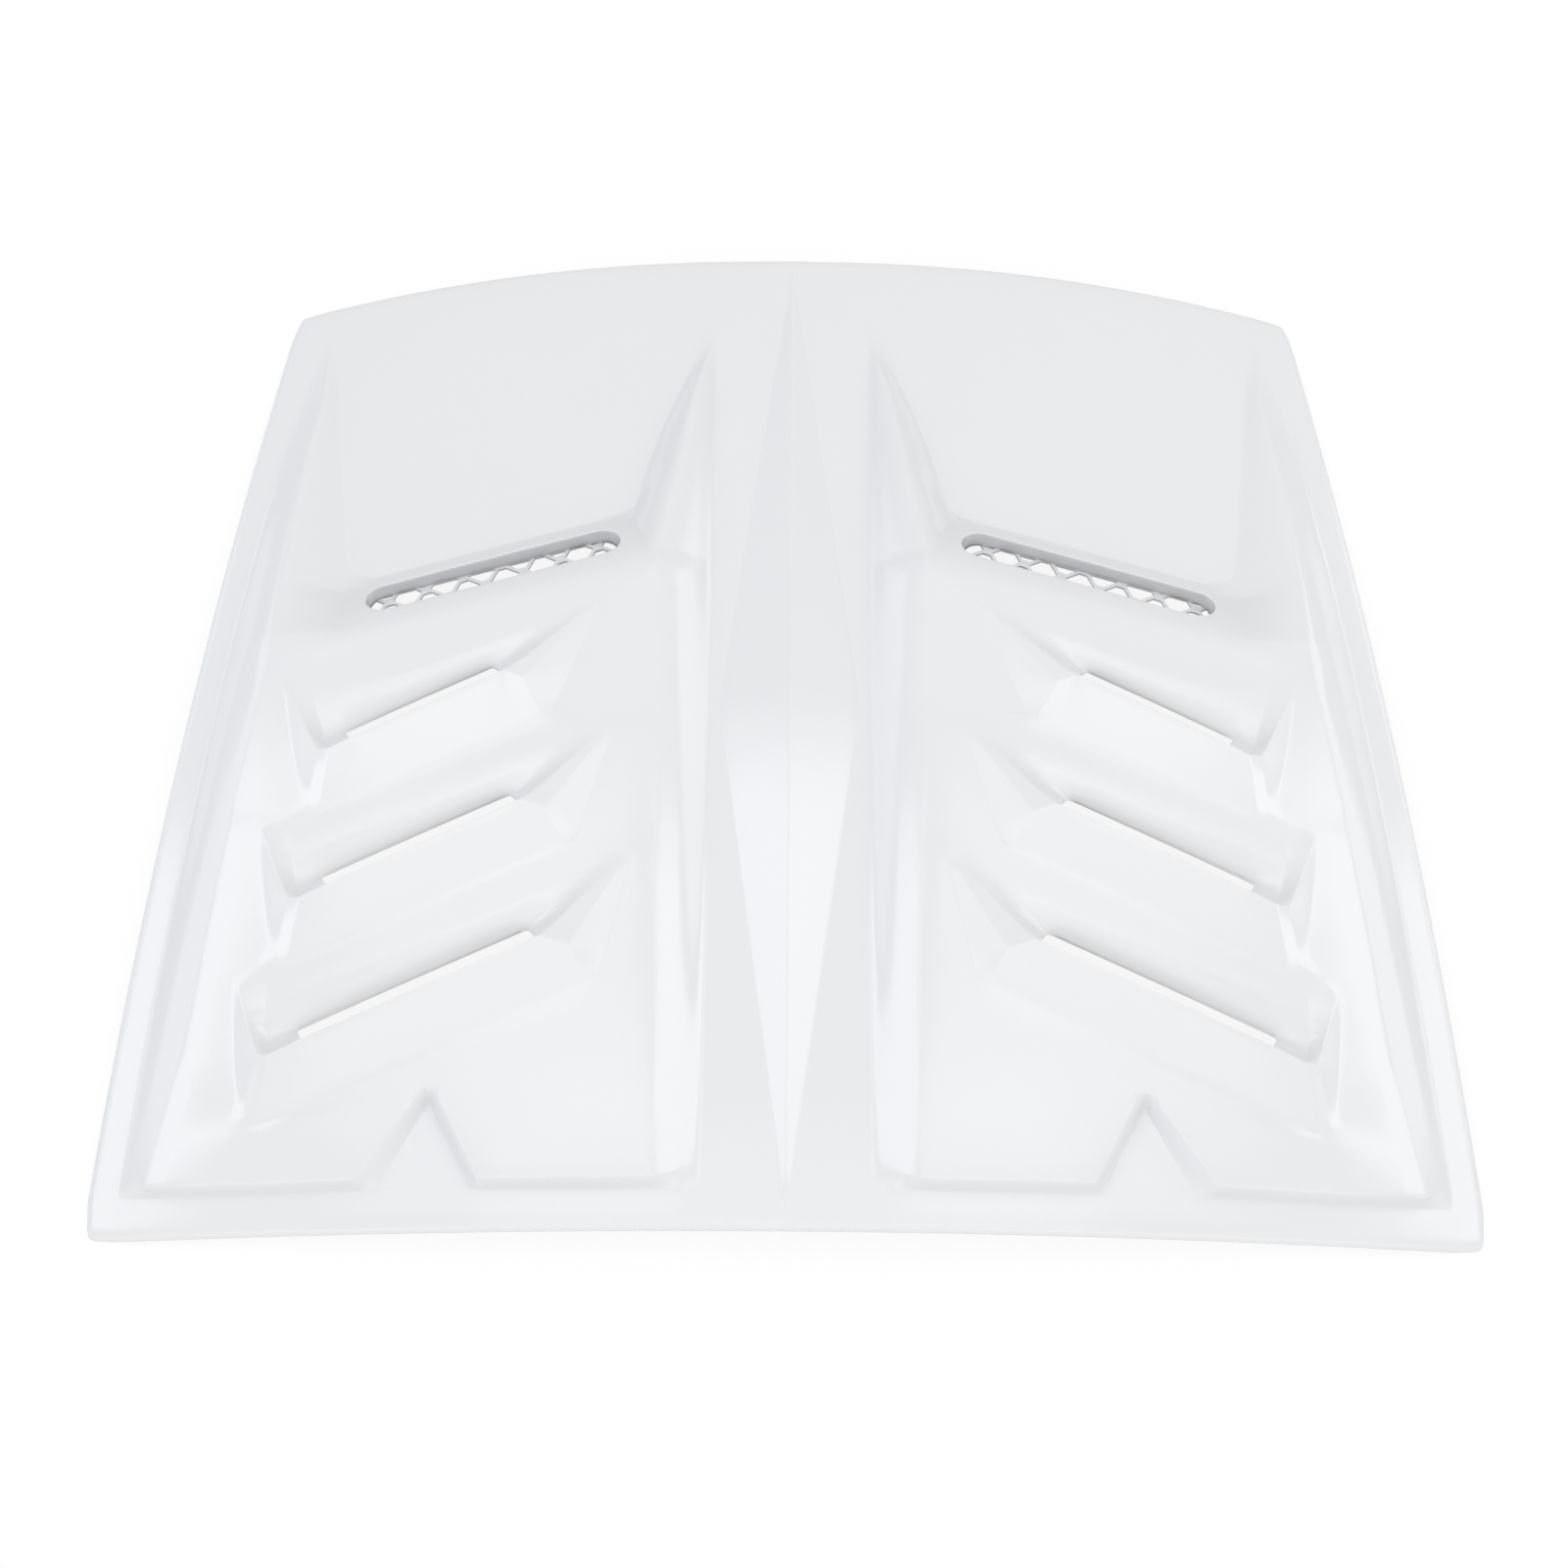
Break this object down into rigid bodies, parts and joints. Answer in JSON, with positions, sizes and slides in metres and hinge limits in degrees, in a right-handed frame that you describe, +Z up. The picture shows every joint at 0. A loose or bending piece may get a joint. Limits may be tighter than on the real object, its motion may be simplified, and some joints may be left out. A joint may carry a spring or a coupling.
{
  "type": "car bonnet vent panel",
  "caption": "Moulded stick-on bonnet panel: a raised pod on each side with slanted louvre slots and a mesh-backed front mouth, and a long faceted spear down the middle.",
  "frame": {"origin": "on the panel's centre plane, half way along its middle, at the level of its lowest rim", "axes": "+X across the car to its right seen from behind the panel's broad end, +Y forward to the bowed narrow edge, +Z up out of the bonnet"},
  "size_m": [1.0966, 0.9545, 0.0731],
  "materials": {
    "panel": "high gloss white",
    "grille": "plain gloss white"
  },
  "bodies": {
    "root": {"vent_panel": "panel", "left_grille": "grille", "right_grille": "grille"}
  },
  "joints": []
}
